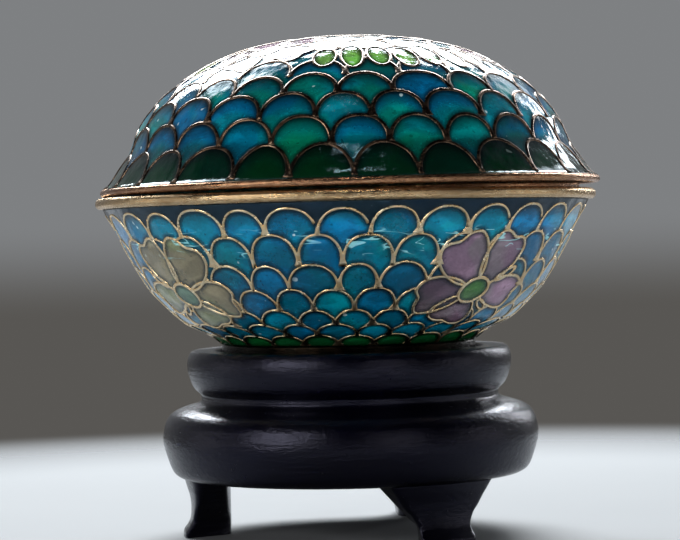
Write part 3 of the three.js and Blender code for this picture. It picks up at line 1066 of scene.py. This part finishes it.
crown_parts = []
for azimuth in CROWN_AZIMUTHS:
    for place, part in enumerate(blossom(False, BLOSSOM_SIZE)[:BLOSSOM_PARTS]):
        kind = "middle" if place == 0 else "petal"
        crown_parts.append((moved(part, azimuth, BLOSSOM_RADIUS), kind))
crown_parts.append((loop(0, -2.4, 2.4, 4.8), "middle"))
for azimuth in np.arange(6) * 60.0:
    heart = petal(azimuth, 9.4, 7.2, 0.3)
    crown_parts.append((clear_of_middle(heart, 0, 2.5, 2.5), "heart"))
for number, azimuth in enumerate(np.arange(LEAF_COUNT) * 360.0 / LEAF_COUNT + 2.0):
    away = min(abs((azimuth - centre + 180) % 360 - 180) for centre in CROWN_AZIMUTHS)
    if away > BLOSSOM_CLEAR:
        leaf = loop(-90, -3.8 + 0.6 * (number % 3), 3.6 - 0.5 * (number % 2), 3.9)
        crown_parts.append((moved(leaf, azimuth, LEAF_RADIUS), "leaf"))


def on_crown(part):
    """Azimuth and reach on the dome of an outline drawn as seen from above."""
    radius = np.hypot(part[:, 0], part[:, 1])
    azimuth = np.unwrap(np.arctan2(part[:, 0], -part[:, 1]))
    return azimuth, np.interp(radius, lid_wall.radius[::-1], lid_wall.reach[::-1])


def in_crown(azimuth, reach):
    """True where a part of the crown's pattern covers the dome."""
    radius = lid_wall.radius_at(reach)
    x, y = radius * np.sin(azimuth), -radius * np.cos(azimuth)
    covered = np.zeros(np.shape(reach), dtype=bool)
    for part, _ in crown_parts:
        covered |= inside(part, x, y)
    return covered


lid_lines = []
for place, row in enumerate(lid_rows):
    for number in range(row.count):
        line = row.arch(number) * (1, 1, LID_WIRE_SHARE)
        keep = line[:, 1] > 0.25
        if place + 1 < len(lid_rows):
            keep &= line[:, 1] >= lid_rows[place + 1].edge(line[:, 0])[0] - 0.1
        if place < ROWS_UNDER_CROWN:
            keep &= ~in_crown(line[:, 0], line[:, 1])
        lid_lines += broken_runs(line, keep, WIRE_POINTS, 36.0)

crown_lines = []
for part, kind in crown_parts:
    part = evened(np.vstack([part, part[:1]]), 49)[:-1]
    azimuth, reach = on_crown(part)
    crown_lines.append(np.stack([azimuth, reach, np.full(len(reach), 1.1)], axis=-1))

points, faces = joined([
    wire_mesh(lid_wall, lid_lines, False),
    wire_mesh(lid_wall, crown_lines, True),
])
# Dark brown gilding: painted shade of the backlit lid's wires.
shaded_brown_wire = gilt_finish("shaded_brown_wire", paint(70, 56, 46), paint(128, 106, 88), 0.25, 1.5)
lid_wires = new_piece("lid_wires", settled(points), faces, shaded_brown_wire)
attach(lid_wires, "root")


# Enamel of the lid: the same clear glass in teal, blue and green, painted dark green in the
# lowest row as shade of the flange that stands behind it, with mauve blossoms and lime leaves on
# the crown.
LID_BLUE = linear(0, 88, 128)
LID_GREEN = linear(4, 108, 92)
LID_SHADED_GREEN = linear(4, 48, 34)
LID_TEAL = linear(6, 84, 98)
LEAF_LIME = linear(112, 160, 78)
LOW_GREEN = np.array([0.2, 0.28, -0.2])
lid_tints = []
for row in lid_rows:
    green = 0.06 + 0.22 * np.cos(2 * row.middle) + lid_chance.uniform(-0.3, 0.36, row.count)
    green = np.clip(green, 0, 1)[:, None]
    shade = lid_chance.uniform(0.8, 1.15, (row.count, 1))
    lid_tints.append((LID_BLUE * (1 - green) + LID_GREEN * green) * shade)
# Painted shade: a dark green for the lowest row, shaded by the flange behind it.
lid_tints[-1] = LID_SHADED_GREEN * lid_chance.uniform(0.8, 1.15, (lid_rows[-1].count, 1))
CROWN_TINTS = {
    "petal": MAUVE * 1.2,
    "middle": linear(96, 150, 80),
    "heart": linear(150, 120, 140),
    "leaf": LEAF_LIME,
}


def lid_cells(azimuth, reach):
    """Colour and painted brightness of the lid's cells, from the crown's ground down to the rim.
    Each scale darkens just under its top edge as a painted shadow of the wire. Lit is painted
    light: low below 6.6 mm, where the flange and rim shade the glass, full by 9 mm, less above
    15 mm, and 0.7 on the crown's pattern.
    """
    tint = np.broadcast_to(LID_TEAL, (*reach.shape, 3)).copy()
    for row, colours in zip(lid_rows, lid_tints):
        edge, number = row.edge(azimuth)
        below = edge - reach
        shadow = 0.35 + 0.8 * ramped(below, 0.3, 3.2)
        low = ramped(below, 2.0, 4.4)[..., None] * ((number * 7 + row.count) % 3 != 0)[..., None]
        colour = colours[number] * shadow[..., None] * (1 + low * LOW_GREEN)
        tint = np.where((reach <= edge)[..., None], colour, tint)
    height = np.interp(reach, lid_wall.reach, lid_wall.height)
    # Painted light: brightness by height, for light through the lid from behind.
    lit = 0.12 + 0.66 * ramped(height, 6.6, 9.0) * (1 - 0.35 * ramped(height, 15.0, 18.0))
    radius = lid_wall.radius_at(reach)
    x, y = radius * np.sin(azimuth), -radius * np.cos(azimuth)
    for part, kind in crown_parts:
        covered = inside(part, x, y)
        tint[covered] = CROWN_TINTS[kind]
        lit[covered] = 0.7
    return tint, lit


enamel_lid = enamel_finish("enamel_lid", 0.20, 0.21, 0.3)
lid_line_points = np.vstack([*lid_lines, *crown_lines])
lid_line_points = lid_wall.at(lid_line_points[:, 0], lid_line_points[:, 1])
lid_reaches = (np.linspace(0, lid_end, 110), np.linspace(lid_end, 0, 36))
points, faces, tints, lits = shell_mesh(lid_wall, lid_reaches, True, lid_cells, lid_line_points)
lid_glass = new_piece("lid_glass", settled(points), faces, enamel_lid)
colour_points(lid_glass, tints, lits)
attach(lid_glass, "root")
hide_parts("lid_enamel")
